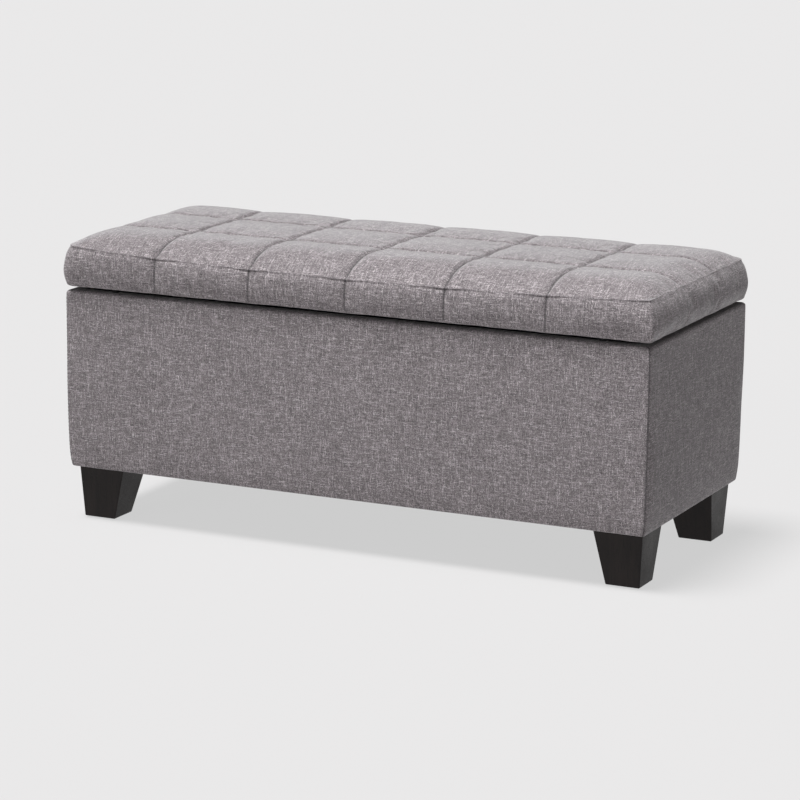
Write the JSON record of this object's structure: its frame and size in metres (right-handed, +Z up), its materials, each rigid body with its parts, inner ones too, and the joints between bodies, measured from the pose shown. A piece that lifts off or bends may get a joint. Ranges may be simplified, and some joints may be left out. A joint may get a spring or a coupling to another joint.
{
  "type": "storage bench",
  "caption": "Upholstered box bench with tapered legs and a quilted cushion lid that lifts on rear hinges and gas struts.",
  "frame": {"origin": "on the floor, under the middle of the bench's outline", "axes": "+Z up, +X along the seat to the sitter's left as seen from behind, which is the right as seen from the front; the front faces -Y"},
  "size_m": [1.007, 0.4189, 0.476],
  "materials": {
    "cover_fabric": "matte",
    "lining_cloth": "matte",
    "dust_cloth": "matte",
    "foam": "matte",
    "plywood": "matte",
    "timber": "matte",
    "leg_stain": "satin",
    "zinc_steel": "satin",
    "hinge_steel": "satin",
    "strut_paint": "satin",
    "rod_chrome": "polished",
    "black_plastic": "satin",
    "rubber": "matte"
  },
  "bodies": {
    "base": {"base_cover": "cover_fabric", "bottom_board": "plywood", "box_lining": "lining_cloth", "corner_plate_front_left": "timber", "corner_plate_front_right": "timber", "corner_plate_rear_left": "timber", "corner_plate_rear_right": "timber", "cross_rail": "timber", "dust_cover": "dust_cloth", "front_board": "plywood", "front_padding": "foam", "front_rail": "timber", "glide_front_left": "black_plastic", "glide_front_right": "black_plastic", "glide_rear_left": "black_plastic", "glide_rear_right": "black_plastic", "hinge_lower_leaf_left": "hinge_steel", "hinge_lower_leaf_right": "hinge_steel", "hinge_pin_left": "zinc_steel", "hinge_pin_right": "zinc_steel", "left_board": "plywood", "left_padding": "foam", "leg_bolt_front_left": "zinc_steel", "leg_bolt_front_right": "zinc_steel", "leg_bolt_rear_left": "zinc_steel", "leg_bolt_rear_right": "zinc_steel", "leg_front_left": "leg_stain", "leg_front_right": "leg_stain", "leg_rear_left": "leg_stain", "leg_rear_right": "leg_stain", "lid_bumper_left": "rubber", "lid_bumper_right": "rubber", "rear_board": "plywood", "rear_padding": "foam", "rear_rail": "timber", "right_board": "plywood", "right_padding": "foam", "strut_foot_bracket_left": "hinge_steel", "strut_foot_bracket_right": "hinge_steel", "tee_nut_front_left": "zinc_steel", "tee_nut_front_right": "zinc_steel", "tee_nut_rear_left": "zinc_steel", "tee_nut_rear_right": "zinc_steel"},
    "lid": {"hinge_upper_leaf_left": "hinge_steel", "hinge_upper_leaf_right": "hinge_steel", "lid_board": "plywood", "lid_cover": "cover_fabric", "lid_foam": "foam", "lid_lining": "lining_cloth", "strut_head_bracket_left": "hinge_steel", "strut_head_bracket_right": "hinge_steel"},
    "strut_tube_left": {"strut_lower_socket_left": "black_plastic", "strut_tube_left": "strut_paint"},
    "strut_rod_left": {"strut_rod_left": "rod_chrome", "strut_upper_socket_left": "black_plastic"},
    "strut_tube_right": {"strut_lower_socket_right": "black_plastic", "strut_tube_right": "strut_paint"},
    "strut_rod_right": {"strut_rod_right": "rod_chrome", "strut_upper_socket_right": "black_plastic"}
  },
  "joints": [
    {"name": "lid_hinge", "type": "hinge", "parent": "base", "child": "lid", "pos_m": [0, 0.2072, 0.382], "axis": [-1, 0, 0], "range_deg": [0, 80]},
    {"name": "strut_foot_left", "type": "hinge", "parent": "base", "child": "strut_tube_left", "pos_m": [-0.462, 0.1622, 0.22846], "axis": [-1, 0, 0], "range_deg": [0, 40]},
    {"name": "strut_head_left", "type": "hinge", "parent": "lid", "child": "strut_rod_left", "pos_m": [-0.462, 0.04731, 0.376], "axis": [-1, 0, 0], "range_deg": [-40, 0]},
    {"name": "strut_foot_right", "type": "hinge", "parent": "base", "child": "strut_tube_right", "pos_m": [0.462, 0.1622, 0.22846], "axis": [-1, 0, 0], "range_deg": [0, 40]},
    {"name": "strut_head_right", "type": "hinge", "parent": "lid", "child": "strut_rod_right", "pos_m": [0.462, 0.04731, 0.376], "axis": [-1, 0, 0], "range_deg": [-40, 0]}
  ],
  "couplings": [
    {"joint": "strut_foot_left", "follows": "lid_hinge", "ratio": 0.5},
    {"joint": "strut_head_left", "follows": "lid_hinge", "ratio": -0.5},
    {"joint": "strut_foot_right", "follows": "lid_hinge", "ratio": 0.5},
    {"joint": "strut_head_right", "follows": "lid_hinge", "ratio": -0.5}
  ]
}
